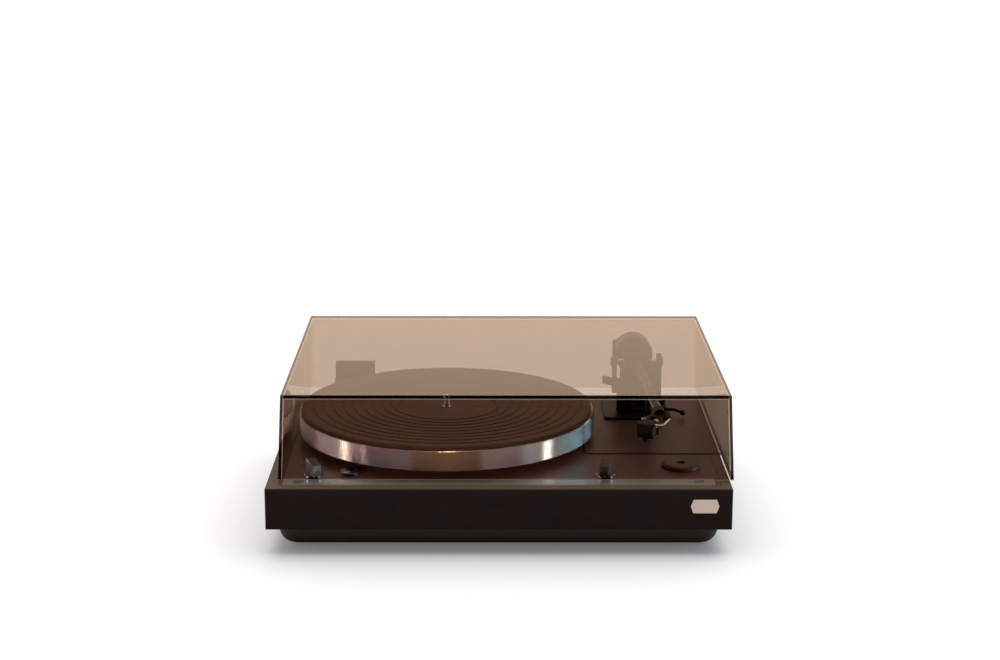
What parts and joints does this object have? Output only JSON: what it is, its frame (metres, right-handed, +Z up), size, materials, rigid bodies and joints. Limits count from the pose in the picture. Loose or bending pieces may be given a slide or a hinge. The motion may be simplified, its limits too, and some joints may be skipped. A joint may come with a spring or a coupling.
{
  "type": "turntable",
  "caption": "Belt-drive record player: dark plinth on a moulded tub, turned platter with rubber mat, pivoted pickup arm and hinged smoke-tinted dust cover.",
  "frame": {"origin": "centre of the bounding box's underside, on the surface the feet stand on, dust cover closed", "axes": "+X to the right along the front, +Y from the front to the back, +Z up; the front faces -Y"},
  "size_m": [0.443, 0.359, 0.1506],
  "materials": {
    "plinth_veneer": "dark satin veneer",
    "deck_lacquer": "brown satin lacquer",
    "board_lacquer": "brown satin lacquer with a bare bright edge",
    "strip_metal": "anodised, fine brushed",
    "tub_moulding": "fine moulded grain",
    "foot_rubber": "matt",
    "fastener_steel": "plated",
    "tinted_cover": "polished, smoke-brown tint",
    "pad_rubber": "soft, matt",
    "hinge_moulding": "fine moulded grain",
    "bearing_brass": "turned",
    "bearing_steel": "ground and polished",
    "platter_metal": "turned, fine lathe lines",
    "mat_rubber": "matt, ribbed",
    "motor_case": "plated can",
    "belt_rubber": "satin",
    "switch_moulding": "moulded",
    "knob_metal": "satin, bright edges",
    "adaptor_moulding": "satin",
    "arm_black": "satin black",
    "arm_bright": "satin anodised",
    "weight_black": "black anodised, turned",
    "cartridge_moulding": "gloss",
    "socket_gold": "gold plated",
    "socket_plate": "matt",
    "board_resin": "satin laminate"
  },
  "bodies": {
    "base": {"plinth": "plinth_veneer", "deck_plate": "deck_lacquer", "front_strip": "strip_metal", "armboard": "board_lacquer", "base_tub": "tub_moulding", "feet": "foot_rubber", "tub_screws": "fastener_steel", "hinge_base_left": "hinge_moulding", "hinge_base_right": "hinge_moulding", "hinge_screws": "fastener_steel", "bearing_housing": "bearing_brass", "thrust_ball": "bearing_steel", "bearing_screws": "fastener_steel", "motor": "motor_case", "motor_plate": "fastener_steel", "motor_isolators": "foot_rubber", "motor_screws": "fastener_steel", "drive_belt": "belt_rubber", "switch_bodies": "switch_moulding", "trim_control": "switch_moulding", "arm_base": "arm_black", "arm_pillar": "arm_bright", "arm_nut": "fastener_steel", "arm_rest": "arm_black", "lift_cylinder": "arm_black", "socket_panel": "socket_plate", "phono_sockets": "socket_gold", "earth_post": "socket_gold", "power_inlet": "switch_moulding", "circuit_board": "board_resin"},
    "lid": {"dust_cover": "tinted_cover", "cover_pads": "pad_rubber", "hinge_clamp_left": "hinge_moulding", "hinge_clamp_right": "hinge_moulding"},
    "platter": {"spindle": "bearing_steel", "inner_platter": "platter_metal", "outer_platter": "platter_metal", "platter_mat": "mat_rubber"},
    "rotor": {"motor_shaft": "bearing_steel", "pulley": "platter_metal"},
    "speed_switch": {"speed_knob": "knob_metal"},
    "start_switch": {"start_knob": "knob_metal"},
    "speed_trim": {"trim_knob": "knob_metal"},
    "adaptor": {"single_adaptor": "adaptor_moulding"},
    "gimbal": {"gimbal_yoke": "arm_black", "pivot_screws": "fastener_steel"},
    "arm": {"pivot_block": "arm_black", "arm_tube": "arm_bright", "headshell": "arm_black", "cartridge": "cartridge_moulding", "stylus": "cartridge_moulding", "cartridge_screws": "fastener_steel", "finger_lift": "arm_bright"},
    "weight": {"counterweight": "weight_black"},
    "force_ring": {"force_dial": "arm_bright"},
    "clip": {"rest_clip": "arm_black"},
    "rail": {"lift_rail": "arm_black"},
    "lever": {"cue_lever": "arm_black"},
    "side_dial": {"side_force_dial": "arm_black"}
  },
  "joints": [
    {"name": "lid_hinge", "type": "hinge", "parent": "base", "child": "lid", "pos_m": [-0.0015, 0.1585, 0.0745], "axis": [-1, 0, 0], "range_deg": [0, 60]},
    {"name": "platter_spin", "type": "hinge", "parent": "base", "child": "platter", "pos_m": [-0.0541, -0.0006, 0.0665], "axis": [0, 0, -1], "continuous": true},
    {"name": "rotor_spin", "type": "hinge", "parent": "base", "child": "rotor", "pos_m": [-0.1321, -0.0806, 0.0665], "axis": [0, 0, -1], "continuous": true},
    {"name": "speed_turn", "type": "hinge", "parent": "base", "child": "speed_switch", "pos_m": [-0.1785, -0.14, 0.0665], "axis": [0, 0, 1], "range_deg": [-60, 0]},
    {"name": "start_turn", "type": "hinge", "parent": "base", "child": "start_switch", "pos_m": [0.1005, -0.14, 0.0665], "axis": [0, 0, 1], "range_deg": [0, 60]},
    {"name": "trim_turn", "type": "hinge", "parent": "base", "child": "speed_trim", "pos_m": [-0.1442, -0.1335, 0.0665], "axis": [0, 0, 1], "range_deg": [-140, 140]},
    {"name": "adaptor_lift", "type": "slide", "parent": "base", "child": "adaptor", "axis": [0, 0, 1], "range_m": [0, 0.012]},
    {"name": "arm_swing", "type": "hinge", "parent": "base", "child": "gimbal", "pos_m": [0.147, 0.0975, 0.0665], "axis": [0, 0, -1], "range_deg": [0, 49]},
    {"name": "arm_tilt", "type": "hinge", "parent": "gimbal", "child": "arm", "pos_m": [0.147, 0.0975, 0.1185], "axis": [-1, 0, 0], "range_deg": [0, 4.5]},
    {"name": "weight_slide", "type": "slide", "parent": "arm", "child": "weight", "axis": [-0.035, 0.9994, 0], "range_m": [0, 0.01]},
    {"name": "force_ring_turn", "type": "hinge", "parent": "weight", "child": "force_ring", "pos_m": [0.14624, 0.11909, 0.1185], "axis": [-0.035, 0.9994, 0], "range_deg": [-170, 170]},
    {"name": "clip_turn", "type": "hinge", "parent": "base", "child": "clip", "pos_m": [0.1582, -0.00217, 0.126], "axis": [0.035, -0.9994, 0], "range_deg": [0, 90]},
    {"name": "lever_turn", "type": "hinge", "parent": "base", "child": "lever", "pos_m": [0.147, 0.0695, 0.0731], "axis": [-1, 0, 0], "range_deg": [0, 25]},
    {"name": "rail_drop", "type": "slide", "parent": "base", "child": "rail", "axis": [0, 0, 1], "range_m": [-0.0047, 0]},
    {"name": "side_dial_turn", "type": "hinge", "parent": "base", "child": "side_dial", "pos_m": [0.1705, 0.0895, 0.0665], "axis": [0, 0, 1], "range_deg": [-140, 140]}
  ],
  "couplings": [
    {"joint": "rotor_spin", "follows": "platter_spin", "ratio": 10.346},
    {"joint": "rail_drop", "follows": "lever_turn", "m_per_rad": -0.010313}
  ]
}
